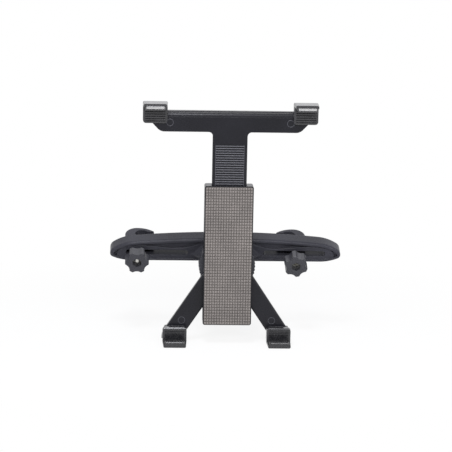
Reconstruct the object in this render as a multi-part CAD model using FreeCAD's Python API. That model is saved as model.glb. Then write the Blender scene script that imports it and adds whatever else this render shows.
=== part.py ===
import FreeCAD, Part
import math
import os

V = FreeCAD.Vector

# Driving dimensions, in millimetres and degrees
RECLINE = 18.0            # lean of the bar and the headrest posts against the upright cradle
SLIP = 0.3                # gap between faces that slide or turn on each other
RUNNING = 0.06            # radial gap of a shaft in its own hole
THREAD = 0.05             # radial gap between a screw and its pilot hole

# Headrest bar
BAR_LENGTH = 227.0
BAR_HEIGHT = 25.8
BAR_DEPTH = 14.5
ARCH_ANGLE = 5.8          # slope of the arched top where it meets an end
END_BLEND = 40.0          # end's upper curve: a wide arc, then a tight one from the turn angle on
END_ROUND = 8.0
END_TURN_ANGLE = 35.0
FOOT_ROUND = 4.0          # end's lower curve: a tight arc, then a wide one from the turn angle on
FOOT_TURN_ANGLE = 25.0
RIM_WIDTH = 3.4
RIM_DEPTH = 2.6
RIM_ROUND = 2.6
LEDGE_ROUND = 0.9
LEDGE_DEPTH = 0.6         # how far the slotted ledge lies behind the rim
SLOT_INNER = 37.0
SLOT_MARGIN = 15.5        # slot's outer end from the bar's end
SLOT_Z = -3.0
BAR_WALL = 2.4
BACK_POCKET = 9.0
BACK_RIBS = 4
BACK_MIDDLE = 12.0        # solid half width of the back around the stud
BUTTRESS_HALF = 41.0      # buttress at the slots' lower edge, then at its top and foot
BUTTRESS_TOP_HALF = 23.0
BUTTRESS_FOOT_HALF = 30.0
BUTTRESS_MARGIN = 1.6     # buttress short of the bar's top and foot

# Post hooks with their clamping bolts and knobs
POST_RADIUS = 6.5
HOOK_BASE = 4.8
HOOK_FINGER = 5.5
HOOK_HEIGHT = 13.0
HOOK_ROUND = 1.6
HOOK_OUTER = 12.0         # outer wall from the bolt
HOOK_TIP = 16.5           # finger's end from the bolt
HOOK_TIP_THICK = 1.4
HOOK_CURL = 3.8           # mouth's upper edge above the post's axis
POST_FROM_BOLT = 4.5
LEFT_BOLT_REST = 11.0     # bolt's place from the slot's outer end
RIGHT_BOLT_REST = 30.2
BOLT_RADIUS = 2.5
BOLT_LENGTH = 33.0
HEX_ACROSS = 8.0
BOLT_HEAD = 2.6
KNOB_RADIUS = 11.6
KNOB_DEPTH = 12.5
KNOB_LOBES = 6
KNOB_FLUTE = 7.0
KNOB_FLUTE_DEPTH = 2.3
NUT_DEPTH = 4.0
NUT_FLOOR = 1.2
LEFT_KNOB_GAP = 8.0       # how far each knob is backed off from the bar
RIGHT_KNOB_GAP = 12.5
LEFT_KNOB_TURN = 0.0
RIGHT_KNOB_TURN = -20.0

# Ball joint
BALL_RADIUS = 10.0
BALL_REACH = 25.0         # ball centre to the bar's front
NECK_RADIUS = 3.8
BUTTRESS_HEIGHT = 8.0
STUD_FLANGE_RADIUS = 6.5
STUD_FLANGE = 1.0
STUD_SPIGOT_RADIUS = 4.5
STUD_SPIGOT = 7.0
STUD_SCREW_HEAD_RADIUS = 4.6
STUD_SCREW_HEAD = 3.0
HEAD_CLEAR = 0.4          # radial gap around a sunk screw head
SHELL_WALL = 2.1          # wall of the cup and the collar
CUP_ANGLE = 68.0          # cup's rim, from the front pole
COLLAR_FRONT_ANGLE = 84.0 # collar's edges, from the rear pole
COLLAR_REAR_ANGLE = 62.0
RING_OPENING_ANGLE = 58.0
BOSS_RADIUS = 16.5
BOSS_BACK = 0.7
RING_RADIUS = 27.3
RING_FRONT = -11.5
RING_BACK = 9.0
RING_TEETH = 52
RING_TOOTH = 0.9

# Cradle housing
BODY_WIDTH = 46.6
PAD_MARGIN = 0.9
PAD_HEIGHT = 134.2
PAD_RISE = 13.9           # pad's centre above the ball's centre
PAD_THICK = 2.2
PAD_ROWS = 48
PAD_GROOVE = 0.6
BODY_EDGE = 0.9           # housing past the pad at top and bottom
BODY_CORNER = 2.0
WALL = 2.5
REAR_FACE = 12.5          # housing's back from the ball's centre
LEG_THICK = 5.0
STEM_THICK = 4.5
SCREW_RADIUS = 1.0
SCREW_LENGTH = 9.0
SCREW_HEAD_RADIUS = 2.2
SCREW_HEAD = 1.3
BOSS_WALL = 0.9
BOSS_GAP = 0.2            # boss short of the housing's wall
SCREW_ROWS = (72.0, 24.0)
LOW_SCREW_Z = -45.0
SPRING_THICK = 0.5
SPRING_WIDTH = 9.0
SPRING_LENGTH = 24.0
SPRING_POCKET = 1.5
SPRING_Z = 66.0

# Sliding top arm
STEM_LOW = 20.0
CROSS_LOW = 133.3
CROSS_HEIGHT = 19.4
CROSS_HALF = 75.5
CROSS_DEPTH = 9.0
CROSS_CORNER_X = 9.5      # cut-off lower corners of the cross piece
CROSS_CORNER_Z = 10.0
CROSS_ROUND = 9.0
CROSS_CELLS = 6           # hollows in the back of the cross piece
ARM_FILLET = 4.0          # between stem and cross piece
COVE_RADIUS = 5.5         # hollow along the cross piece's upper front edge
COVE_FRONT = 1.5
RIB_RAIL = 3.2            # smooth rail beside the ribs
RIB_PITCH = 2.28
RIB_DEPTH = 0.8
RIB_RADIUS = 0.7
RIB_START = 12.3          # first rib below the cross piece
STEM_CHAMFER = 1.1

# Folding legs
LEG_WIDTH = 18.4
LEG_ROUND = 1.5
FOOT_MARGIN = 1.2         # foot past the claw on its outer side
FOOT_BEND = 14.0
FOOT_SHARE = 0.65         # part of the claw's height that the foot covers
LEG_LENGTH = 71.6
LEG_SPLAY = 33.6
LEG_CLEAR = 1.3           # leg's eye from the middle
LEG_PIVOT_Z = -2.84
PIVOT_RADIUS = 3.6
PIVOT_HEAD_RADIUS = 4.9
PIVOT_HEAD = 1.2
PIVOT_SINK = 1.5
WINDOW_TOP = 9.0

# Claws
CLAW_WIDTH = 22.4
CLAW_TAPER = 1.0
TOP_CLAW_HEIGHT = 20.3
LOW_CLAW_HEIGHT = 16.2
CLAW_PLATE = 5.0
CLAW_WALL = 3.0
CLAW_CHANNEL = 12.5
LIP_HEIGHT = 4.6
LIP_THICK = 3.4
LIP_MARGIN = 1.7          # lip's ends short of the claw's sides
LIP_DROP = 1.6            # lip's outer edge inside the claw's outer wall
LIP_LEAN = 1.3            # backward lean of the lip's front
LIP_ROUND = 1.3
CLAW_BREAK = 1.0          # chamfer of the claw's inner edge
CLAW_CORNER = 3.0
CLAW_INSET = 4.5          # claw's middle from the cross piece's end
CLAW_RISE = 8.5           # upper claw's inner edge above the cross piece's foot
CLAW_RIBS = 7
CLAW_RIB = 0.6
CLAW_SCREW_Z = 6.0        # screw from the claw's inner edge
CLAW_SCREW_RADIUS = 1.4
CLAW_SCREW_LENGTH = 8.0
CLAW_SCREW_HEAD_RADIUS = 2.8
CLAW_SCREW_HEAD = 1.8
CLAW_SCREW_SEAT = 4.0     # plastic between a claw and its screw's head

# Derived places in the bar's frame, y towards the seat, z along the posts
HOOK_CROWN = POST_RADIUS + HOOK_FINGER
ARCH = math.radians(ARCH_ANGLE)
TURN = math.radians(END_TURN_ANGLE)
FOOT_TURN = math.radians(FOOT_TURN_ANGLE)
END_X = BAR_LENGTH / 2 - END_BLEND * (math.sin(TURN) - math.sin(ARCH)) - END_ROUND * (1 - math.sin(TURN))
ARCH_RADIUS = END_X / math.sin(ARCH)
ARCH_CENTRE = BAR_HEIGHT / 2 - ARCH_RADIUS
BLEND_X = END_X - END_BLEND * math.sin(ARCH)
BLEND_Z = ARCH_CENTRE + (ARCH_RADIUS - END_BLEND) * math.cos(ARCH)
BAR_NOSE = BLEND_Z + (END_BLEND - END_ROUND) * math.cos(TURN)
FOOT_BLEND = (BAR_NOSE + BAR_HEIGHT / 2 - FOOT_ROUND * math.cos(FOOT_TURN)) / (1 - math.cos(FOOT_TURN))
SLOT_OUTER = BAR_LENGTH / 2 - SLOT_MARGIN
LEFT_BOLT_X = LEFT_BOLT_REST - SLOT_OUTER
RIGHT_BOLT_X = SLOT_OUTER - RIGHT_BOLT_REST
HOOK_FACE = -(POST_RADIUS + HOOK_BASE)
BAR_BACK = HOOK_FACE - SLIP / 2
BAR_FRONT = BAR_BACK - BAR_DEPTH
BALL_Y = BAR_FRONT - BALL_REACH
BUTTRESS_FACE = BAR_FRONT - BUTTRESS_HEIGHT
SLOT_RADIUS = BOLT_RADIUS + SLIP + 0.05
BOLT_SEAT = -POST_RADIUS - BOLT_HEAD - SLIP
BOLT_END = BOLT_SEAT - BOLT_LENGTH
SPIGOT_HEAD_HOLE = STUD_SCREW_HEAD_RADIUS + HEAD_CLEAR

# Derived places in the cradle's frame, from the ball's centre, y towards the bar
REAR_OUT = -REAR_FACE
REAR_IN = REAR_OUT - WALL
LEG_BACK = REAR_IN - SLIP
LEG_FRONT = LEG_BACK - LEG_THICK
STEM_BACK = LEG_FRONT - SLIP
STEM_FRONT = STEM_BACK - STEM_THICK
COVER_IN = STEM_FRONT - SLIP
COVER_OUT = COVER_IN - WALL
PAD_FACE = COVER_OUT - PAD_THICK
PARTING = STEM_BACK + SLIP / 2
BODY_LOW = PAD_RISE - PAD_HEIGHT / 2 - BODY_EDGE
BODY_TOP = PAD_RISE + PAD_HEIGHT / 2 + BODY_EDGE
PAD_WIDTH = BODY_WIDTH - 2 * PAD_MARGIN
INNER_X = BODY_WIDTH / 2 - WALL
HOUSING_BOSS = SCREW_RADIUS + BOSS_WALL
BOSS_X = INNER_X - BOSS_GAP - HOUSING_BOSS
GUIDE_X = BOSS_X - HOUSING_BOSS
STEM_HALF = GUIDE_X - SLIP
RIB_HALF = STEM_HALF - RIB_RAIL
LEG_PIVOT_X = LEG_WIDTH / 2 + LEG_CLEAR
CLAW_X = CROSS_HALF - CLAW_INSET
CLAW_Z = CROSS_LOW + CLAW_RISE
RIB_TOP = CROSS_LOW - RIB_START
SEAT_RADIUS = BALL_RADIUS + SLIP
SHELL_RADIUS = SEAT_RADIUS + SHELL_WALL
CAVITY_RADIUS = SHELL_RADIUS + SLIP
CLAW_FACE = STEM_FRONT - CLAW_PLATE
CROSS_BACK = STEM_FRONT + CROSS_DEPTH
PIVOT_END = LEG_FRONT + PIVOT_SINK - 0.1
CLAW_SEAT = STEM_FRONT + CLAW_SCREW_SEAT


def box(x0, x1, y0, y1, z0, z1):
    return Part.makeBox(x1 - x0, y1 - y0, z1 - z0, V(x0, y0, z0))


def rod(radius, start, end):
    span = end - start
    return Part.makeCylinder(radius, span.Length, start, span)


def extrude(points, along):
    face = Part.Face(Part.makePolygon(points + [points[0]]))
    return face.extrude(along)


def prism_x(points, x0, x1):
    """Solid from a side view outline of (y, z) points."""
    return extrude([V(x0, y, z) for y, z in points], V(x1 - x0, 0, 0))


def prism_y(points, y0, y1):
    """Solid from a front view outline of (x, z) points."""
    return extrude([V(x, y0, z) for x, z in points], V(0, y1 - y0, 0))


def prism_z(points, z0, z1):
    """Solid from a plan outline of (x, y) points."""
    return extrude([V(x, y, z0) for x, y in points], V(0, 0, z1 - z0))


def hexagon_y(across, y0, y1, x, z):
    radius = across / math.sqrt(3)
    corners = [math.radians(60 * k + 30) for k in range(6)]
    return prism_y([(x + radius * math.cos(a), z + radius * math.sin(a)) for a in corners], y0, y1)


def straight_edges(shape, direction, test):
    chosen = []
    for edge in shape.Edges:
        if edge.Curve.TypeId == "Part::GeomLine":
            if abs(abs(edge.Curve.Direction.dot(direction)) - 1) < 1e-6 and test(edge.CenterOfMass):
                chosen.append(edge)
    return chosen


def round_edges(shape, direction, radius, test=lambda p: True):
    return shape.makeFillet(radius, straight_edges(shape, direction, test))


def join(shapes):
    return shapes[0].multiFuse(shapes[1:]).removeSplitter()


def cut(shape, tools):
    return shape.cut(Part.makeCompound(tools)) if len(tools) > 1 else shape.cut(tools[0])


def mirror(shape):
    return shape.mirror(V(0, 0, 0), V(1, 0, 0))


def in_bar(shape):
    """Lean a piece built in the bar's frame to where the bar stands."""
    placed = shape.copy()
    placed.rotate(V(0, 0, 0), V(1, 0, 0), RECLINE)
    return placed


def in_cradle(shape):
    """Move a piece built around the ball's centre to where the ball is."""
    lean = math.radians(RECLINE)
    placed = shape.copy()
    placed.translate(V(0, BALL_Y * math.cos(lean), BALL_Y * math.sin(lean)))
    return placed


def bar_outline(y0, y1, inset):
    """Long block with an arched top, a straight foot and rounded ends; inset draws a parallel outline."""
    nose_x = BAR_LENGTH / 2
    foot_x = nose_x - FOOT_ROUND - (FOOT_BLEND - FOOT_ROUND) * math.sin(FOOT_TURN)
    foot_z = BAR_NOSE + (FOOT_BLEND - FOOT_ROUND) * math.cos(FOOT_TURN)
    arcs = [(BLEND_X, BLEND_Z, END_BLEND, ARCH, TURN),
            (nose_x - END_ROUND, BAR_NOSE, END_ROUND, TURN, math.pi / 2),
            (nose_x - FOOT_ROUND, BAR_NOSE, FOOT_ROUND, math.pi / 2, math.pi - FOOT_TURN),
            (foot_x, foot_z, FOOT_BLEND, math.pi - FOOT_TURN, math.pi)]
    right = [end_arc(x, z, radius - inset, first, last, y0) for x, z, radius, first, last in arcs]
    left = [mirror(edge) for edge in right]
    arch = end_arc(0.0, ARCH_CENTRE, ARCH_RADIUS - inset, -ARCH, ARCH, y0)
    base_z = foot_z - FOOT_BLEND + inset
    base = Part.makeLine(V(-foot_x, y0, base_z), V(foot_x, y0, base_z))
    wire = Part.Wire(Part.__sortEdges__(right + left + [arch, base]))
    return Part.Face(wire).extrude(V(0, y1 - y0, 0))


def end_arc(x, z, radius, first, last, y):
    """Arc about (x, z) between two angles, counted from straight up towards the bar's right end."""
    angles = (first, (first + last) / 2, last)
    points = [V(x + radius * math.sin(a), y, z + radius * math.cos(a)) for a in angles]
    return Part.Arc(points[0], points[1], points[2]).toShape()


def arch_height(x):
    """Height of the bar's top at a distance from its middle."""
    if x < END_X:
        return ARCH_CENTRE + math.sqrt(ARCH_RADIUS ** 2 - x ** 2)
    return BLEND_Z + math.sqrt(END_BLEND ** 2 - (x - BLEND_X) ** 2)


def bar_ledge(side, y0, y1):
    """Raised ledge around one slot, rising towards the middle, with a rounded upper edge."""
    lip = SLOT_Z + SLOT_RADIUS
    end = SLOT_OUTER
    below = -BAR_HEIGHT
    over = -BACK_MIDDLE / 2
    line = [(SLOT_INNER - 15.0, lip + 9.4), (SLOT_INNER - 6.0, lip + 5.6), (SLOT_INNER + 3.0, lip + 2.9),
            (SLOT_INNER + 12.0, lip + 2.2), (SLOT_INNER + 27.0, lip + 3.3), (end - 18.0, lip + 4.7),
            (end - 5.0, lip + 4.2), (end + 5.0, lip + 1.2), (end + 9.0, lip - 4.0)]
    points = [V(side * x, y0, z) for x, z in line]
    curve = Part.BSplineCurve()
    curve.interpolate(points)
    corners = [points[-1], V(side * (end + 6.0), y0, below), V(side * over, y0, below),
               V(side * over, y0, points[0].z), points[0]]
    wire = Part.Wire([curve.toShape()] + Part.makePolygon(corners).Edges)
    ledge = Part.Face(wire).extrude(V(0, y1 - y0, 0))
    rim = [e for e in ledge.Edges
           if e.Curve.TypeId == "Part::GeomBSplineCurve" and e.CenterOfMass.y < y0 + 0.01]
    return ledge.makeFillet(LEDGE_ROUND, rim)


def make_bar():
    bar = bar_outline(BAR_FRONT, BAR_BACK, 0.0)
    front_edges = [e for e in bar.Edges
                   if abs(e.BoundBox.YMin - BAR_FRONT) < 1e-3 and e.BoundBox.YLength < 1e-3]
    bar = bar.makeFillet(RIM_ROUND, front_edges)
    recess = bar_outline(BAR_FRONT - 1.0, BAR_FRONT + RIM_DEPTH, RIM_WIDTH)
    ledges = [bar_ledge(s, BAR_FRONT + LEDGE_DEPTH, BAR_FRONT + RIM_DEPTH + 1) for s in (-1, 1)]
    bar = bar.cut(cut(recess, ledges))
    crown = BAR_HEIGHT / 2 - RIM_WIDTH - BUTTRESS_MARGIN / 2
    foot = -BAR_HEIGHT / 2 + BUTTRESS_MARGIN
    waist = SLOT_Z - SLOT_RADIUS
    seat = STUD_FLANGE_RADIUS + 1.5
    wide = [(-BUTTRESS_HALF, waist), (-BUTTRESS_TOP_HALF, crown), (BUTTRESS_TOP_HALF, crown),
            (BUTTRESS_HALF, waist), (BUTTRESS_FOOT_HALF, foot), (-BUTTRESS_FOOT_HALF, foot)]
    near = [(-seat - 1.0, -seat / 2), (-seat * 0.8, seat), (seat * 0.8, seat), (seat + 1.0, -seat / 2),
            (seat * 0.75, -seat), (-seat * 0.75, -seat)]
    wires = []
    for outline, y in ((wide, BAR_FRONT + RIM_DEPTH), (near, BUTTRESS_FACE)):
        corners = [V(x, y, z) for x, z in outline]
        wires.append(Part.makePolygon(corners + [corners[0]]))
    buttress = Part.makeLoft(wires, True, True)
    bar = join([bar, buttress])
    tools = []
    for side in (-1, 1):
        for x in (SLOT_INNER + SLOT_RADIUS, SLOT_OUTER - SLOT_RADIUS):
            tools.append(rod(SLOT_RADIUS, V(side * x, BUTTRESS_FACE, SLOT_Z),
                             V(side * x, BAR_BACK + 1, SLOT_Z)))
        ends = sorted((side * (SLOT_INNER + SLOT_RADIUS), side * (SLOT_OUTER - SLOT_RADIUS)))
        tools.append(box(ends[0], ends[1], BUTTRESS_FACE, BAR_BACK + 1,
                         SLOT_Z - SLOT_RADIUS, SLOT_Z + SLOT_RADIUS))
        floor = SLOT_Z + SLOT_RADIUS + BAR_WALL
        step = (SLOT_OUTER - BACK_MIDDLE) / BACK_RIBS
        for k in range(BACK_RIBS):
            x0 = BACK_MIDDLE + k * step
            x1 = x0 + step - BAR_WALL
            crown = arch_height(x1) - BAR_WALL
            near_x, far_x = sorted((side * x0, side * x1))
            tools.append(box(near_x, far_x, BAR_BACK - BACK_POCKET, BAR_BACK + 1, floor, crown))
    tools.append(rod(STUD_SPIGOT_RADIUS + THREAD, V(0, BUTTRESS_FACE - 1, 0),
                     V(0, BUTTRESS_FACE + STUD_SPIGOT, 0)))
    tools.append(rod(BOLT_RADIUS + THREAD, V(0, BUTTRESS_FACE, 0), V(0, BAR_BACK + 1, 0)))
    tools.append(rod(SPIGOT_HEAD_HOLE, V(0, BAR_BACK - STUD_SCREW_HEAD - 1, 0), V(0, BAR_BACK + 1, 0)))
    return cut(bar, tools)


def make_ball_stud():
    ball = Part.makeSphere(BALL_RADIUS, V(0, BALL_Y, 0))
    neck = rod(NECK_RADIUS, V(0, BALL_Y + BALL_RADIUS / 2, 0), V(0, BUTTRESS_FACE, 0))
    flange = rod(STUD_FLANGE_RADIUS, V(0, BUTTRESS_FACE - STUD_FLANGE, 0), V(0, BUTTRESS_FACE, 0))
    spigot = rod(STUD_SPIGOT_RADIUS, V(0, BUTTRESS_FACE, 0), V(0, BUTTRESS_FACE + STUD_SPIGOT, 0))
    stud = join([ball, neck, flange, spigot])
    thread = rod(BOLT_RADIUS, V(0, BUTTRESS_FACE - 3.0, 0), V(0, BUTTRESS_FACE + STUD_SPIGOT + 1, 0))
    return stud.cut(thread)


def make_stud_screw():
    seat = BAR_BACK - STUD_SCREW_HEAD - 1
    shank = rod(BOLT_RADIUS - THREAD, V(0, BUTTRESS_FACE - 2.0, 0), V(0, seat, 0))
    head = rod(STUD_SCREW_HEAD_RADIUS, V(0, seat, 0), V(0, seat + STUD_SCREW_HEAD, 0))
    drive = hexagon_y(3.0, seat + 1.0, seat + STUD_SCREW_HEAD + 1, 0, 0)
    return join([shank, head]).cut(drive)


def make_hook(bolt_x, side):
    """Round-backed jaw, open towards the middle of the bar; side is -1 on the left."""
    low = SLOT_Z - HOOK_HEIGHT / 2
    high = SLOT_Z + HOOK_HEIGHT / 2
    slope = math.sqrt(0.5)
    tip = HOOK_CURL + HOOK_TIP_THICK
    sink = HOOK_CROWN - tip
    bend = (HOOK_TIP ** 2 + sink ** 2) / (2 * sink)
    middle = HOOK_TIP / 2
    crown_y = HOOK_CROWN - bend + math.sqrt(bend ** 2 - middle ** 2)
    back = Part.Arc(V(-HOOK_OUTER, 0, low), V(-HOOK_OUTER * slope, HOOK_CROWN * slope, low),
                    V(0, HOOK_CROWN, low))
    finger = Part.Arc(V(0, HOOK_CROWN, low), V(middle, crown_y, low), V(HOOK_TIP, tip, low))
    corners = [V(HOOK_TIP, tip, low), V(HOOK_TIP, HOOK_FACE, low), V(-HOOK_OUTER, HOOK_FACE, low),
               V(-HOOK_OUTER, 0, low)]
    wire = Part.Wire([back.toShape(), finger.toShape()] + Part.makePolygon(corners).Edges)
    block = Part.Face(wire).extrude(V(0, 0, HOOK_HEIGHT))
    rims = [e for e in block.Edges if e.BoundBox.ZLength < 0.01 and e.Curve.TypeId == "Part::GeomCircle"]
    block = block.makeFillet(HOOK_ROUND, rims)
    jaw = rod(POST_RADIUS, V(POST_FROM_BOLT, 0, low - 1), V(POST_FROM_BOLT, 0, high + 1))
    mouth = box(POST_FROM_BOLT, HOOK_TIP + 1, HOOK_CURL - 2 * POST_RADIUS, HOOK_CURL, low - 1, high + 1)
    hook = block.cut(join([jaw, mouth]))
    bore = rod(BOLT_RADIUS + THREAD, V(0, HOOK_FACE - 1, SLOT_Z), V(0, 0, SLOT_Z))
    pocket = hexagon_y(HEX_ACROSS + SLIP, BOLT_SEAT, 0, 0, SLOT_Z)
    hook = hook.cut(join([bore, pocket]))
    if side > 0:
        hook = mirror(hook)
    hook.translate(V(bolt_x, 0, 0))
    return hook


def make_bolt(bolt_x):
    head = hexagon_y(HEX_ACROSS, BOLT_SEAT, BOLT_SEAT + BOLT_HEAD, bolt_x, SLOT_Z)
    shank = rod(BOLT_RADIUS, V(bolt_x, BOLT_END, SLOT_Z), V(bolt_x, BOLT_SEAT, SLOT_Z))
    tip = [e for e in shank.Edges if abs(e.BoundBox.YMax - BOLT_END) < 1e-3]
    return join([head, shank.makeChamfer(0.6, tip)])


def make_knob(bolt_x, gap, turn):
    """Lobed grip with a hexagon recess that holds the nut."""
    back = BAR_FRONT - gap
    face = back - KNOB_DEPTH
    grip = rod(KNOB_RADIUS, V(0, face, 0), V(0, back, 0))
    rims = [e for e in grip.Edges if e.BoundBox.YLength < 1e-3]
    grip = grip.makeFillet(0.8, rims)
    reach = KNOB_RADIUS + KNOB_FLUTE - KNOB_FLUTE_DEPTH
    tools = []
    for k in range(KNOB_LOBES):
        angle = math.radians(turn + 360 * (k + 0.5) / KNOB_LOBES)
        x = reach * math.cos(angle)
        z = reach * math.sin(angle)
        tools.append(rod(KNOB_FLUTE, V(x, face - 1, z), V(x, back + 1, z)))
    grip = cut(grip, tools)
    recess = hexagon_y(HEX_ACROSS + SLIP, face - 1, back - NUT_FLOOR, 0, 0)
    bore = rod(BOLT_RADIUS + SLIP, V(0, face - 1, 0), V(0, back + 1, 0))
    knob = grip.cut(join([recess, bore]))
    knob.translate(V(bolt_x, 0, SLOT_Z))
    return knob


def make_knob_nut(bolt_x, gap):
    seat = BAR_FRONT - gap - NUT_FLOOR
    nut = hexagon_y(HEX_ACROSS, seat - NUT_DEPTH, seat, bolt_x, SLOT_Z)
    return nut.cut(rod(BOLT_RADIUS + RUNNING, V(bolt_x, seat - NUT_DEPTH - 1, SLOT_Z),
                       V(bolt_x, seat + 1, SLOT_Z)))


def sphere_band(inner, outer, pole_sign, first, last):
    """Part of a spherical shell between two angles from the pole on the y axis."""
    points = []
    for radius, angle in ((inner, first), (inner, last), (outer, last), (outer, first)):
        bend = math.radians(angle)
        points.append(V(radius * math.sin(bend), pole_sign * radius * math.cos(bend), 0))
    middle = math.radians((first + last) / 2)
    edges = []
    for radius, start, end in ((inner, points[0], points[1]), (outer, points[3], points[2])):
        bulge = V(radius * math.sin(middle), pole_sign * radius * math.cos(middle), 0)
        edges.append(Part.Arc(start, bulge, end).toShape())
    edges.append(Part.makeLine(points[0], points[3]))
    edges.append(Part.makeLine(points[1], points[2]))
    face = Part.Face(Part.Wire(Part.__sortEdges__(edges)))
    return face.revolve(V(0, 0, 0), V(0, 1, 0), 360)


def make_ball_cup():
    return sphere_band(SEAT_RADIUS, SHELL_RADIUS, -1, 0.0, CUP_ANGLE)


def make_ball_collar():
    return sphere_band(SEAT_RADIUS, SHELL_RADIUS, 1, COLLAR_REAR_ANGLE, COLLAR_FRONT_ANGLE)


def make_clamp_ring():
    outline = []
    for k in range(2 * RING_TEETH):
        angle = math.pi * k / RING_TEETH
        radius = RING_RADIUS if k % 2 == 0 else RING_RADIUS - RING_TOOTH
        outline.append((radius * math.cos(angle), radius * math.sin(angle)))
    ring = prism_y(outline, RING_FRONT, RING_BACK)
    skirt = rod(BOSS_RADIUS + SLIP, V(0, RING_FRONT - 1, 0), V(0, BOSS_BACK + SLIP, 0))
    seat = Part.makeSphere(CAVITY_RADIUS)
    bend = math.radians(RING_OPENING_ANGLE)
    near = CAVITY_RADIUS * 0.8
    far = (RING_BACK + 1) / math.cos(bend)
    mouth = Part.makeCone(near * math.sin(bend), far * math.sin(bend), (far - near) * math.cos(bend),
                          V(0, near * math.cos(bend), 0), V(0, 1, 0))
    relief = Part.makeCone(RING_RADIUS - 2.0, RING_RADIUS + 2.0, 4.0, V(0, RING_BACK + 1, 0), V(0, -1, 0))
    shell = Part.makeCylinder(RING_RADIUS + 4, 4.0, V(0, RING_BACK - 3, 0), V(0, 1, 0)).cut(relief)
    return cut(ring, [skirt, seat, mouth, shell])


def housing_block(y0, y1):
    block = box(-BODY_WIDTH / 2, BODY_WIDTH / 2, y0, y1, BODY_LOW, BODY_TOP)
    return round_edges(block, V(0, 1, 0), BODY_CORNER)


def screw_places():
    places = [(side * BOSS_X, z) for z in SCREW_ROWS for side in (-1, 1)]
    return places + [(0.0, LOW_SCREW_Z)]


def make_front_cover():
    cover = housing_block(COVER_OUT, PARTING)
    hollow = box(-INNER_X, INNER_X, COVER_IN, PARTING + 1, BODY_LOW + WALL, BODY_TOP - WALL)
    mouth = box(-GUIDE_X, GUIDE_X, COVER_IN, PARTING + 1, BODY_TOP - WALL - 1, BODY_TOP + 1)
    cover = cover.cut(join([hollow, mouth]))
    added = []
    for side in (-1, 1):
        near_x, far_x = sorted((side * GUIDE_X, side * (GUIDE_X + 1.6)))
        added.append(box(near_x, far_x, COVER_IN - 0.5, PARTING, BODY_LOW + 2 * WALL, BODY_TOP - WALL + 0.5))
    for x, z in screw_places():
        added.append(rod(HOUSING_BOSS, V(x, COVER_IN - 0.5, z), V(x, REAR_IN, z)))
    cover = join([cover] + added)
    tools = []
    for x, z in screw_places():
        tools.append(rod(SCREW_RADIUS + THREAD, V(x, REAR_IN - SCREW_LENGTH, z), V(x, REAR_IN + 1, z)))
    half = SPRING_LENGTH / 2 + 0.6
    side = SPRING_WIDTH / 2 + SLIP
    tools.append(box(-side, side, COVER_IN - SPRING_POCKET, COVER_IN + 1, SPRING_Z - half, SPRING_Z + half))
    return cut(cover, tools)


def make_rear_cover():
    cover = housing_block(PARTING, REAR_OUT)
    hollow = box(-INNER_X, INNER_X, PARTING - 1, REAR_IN, BODY_LOW + WALL, BODY_TOP - WALL)
    window = box(-BODY_WIDTH, BODY_WIDTH, PARTING - 1, REAR_IN, BODY_LOW - 1, WINDOW_TOP)
    cover = cover.cut(join([hollow, window]))
    added = [rod(BOSS_RADIUS, V(0, REAR_IN + 0.5, 0), V(0, BOSS_BACK, 0))]
    for side in (-1, 1):
        near_x, far_x = sorted((side * 8.0, side * 10.0))
        added.append(box(near_x, far_x, LEG_FRONT, REAR_IN + 0.5, WINDOW_TOP + 2, BODY_TOP - WALL + 0.5))
        pivot = side * LEG_PIVOT_X
        added.append(rod(PIVOT_RADIUS, V(pivot, PIVOT_END, LEG_PIVOT_Z),
                         V(pivot, REAR_IN + 0.5, LEG_PIVOT_Z)))
    cover = join([cover] + added)
    tools = [Part.makeSphere(CAVITY_RADIUS)]
    for x, z in screw_places():
        tools.append(rod(SCREW_RADIUS + SLIP, V(x, REAR_IN - 1, z), V(x, REAR_OUT + 1, z)))
        tools.append(rod(SCREW_HEAD_RADIUS + SLIP, V(x, REAR_OUT - SCREW_HEAD, z), V(x, REAR_OUT + 1, z)))
    for side in (-1, 1):
        pivot = side * LEG_PIVOT_X
        tools.append(rod(SCREW_RADIUS + THREAD, V(pivot, PIVOT_END - 1, LEG_PIVOT_Z),
                         V(pivot, REAR_IN, LEG_PIVOT_Z)))
    return cut(cover, tools)


def make_housing_screws():
    screws = []
    for x, z in screw_places():
        head = rod(SCREW_HEAD_RADIUS, V(x, REAR_OUT - SCREW_HEAD, z), V(x, REAR_OUT, z))
        shank = rod(SCREW_RADIUS, V(x, REAR_IN - SCREW_LENGTH + 1, z), V(x, REAR_OUT - SCREW_HEAD, z))
        slots = join([box(x - 1.4, x + 1.4, REAR_OUT - 0.7, REAR_OUT + 1, z - 0.3, z + 0.3),
                      box(x - 0.3, x + 0.3, REAR_OUT - 0.7, REAR_OUT + 1, z - 1.4, z + 1.4)])
        screws.append(join([head, shank]).cut(slots))
    return Part.makeCompound(screws)


def make_pivot_screws():
    screws = []
    for side in (-1, 1):
        x = side * LEG_PIVOT_X
        head = rod(PIVOT_HEAD_RADIUS, V(x, PIVOT_END - PIVOT_HEAD, LEG_PIVOT_Z), V(x, PIVOT_END, LEG_PIVOT_Z))
        shank = rod(SCREW_RADIUS, V(x, PIVOT_END, LEG_PIVOT_Z), V(x, REAR_IN - 0.5, LEG_PIVOT_Z))
        screws.append(join([head, shank]))
    return Part.makeCompound(screws)


def make_grip_pad():
    low = PAD_RISE - PAD_HEIGHT / 2
    pitch = PAD_HEIGHT / PAD_ROWS
    outline = [(COVER_OUT, low), (COVER_OUT, low + PAD_HEIGHT)]
    for k in range(PAD_ROWS, 0, -1):
        outline.append((PAD_FACE + PAD_GROOVE, low + k * pitch))
        outline.append((PAD_FACE, low + (k - 0.35) * pitch))
        outline.append((PAD_FACE, low + (k - 0.65) * pitch))
    outline.append((PAD_FACE + PAD_GROOVE, low))
    return prism_x(outline, -PAD_WIDTH / 2, PAD_WIDTH / 2)


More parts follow.
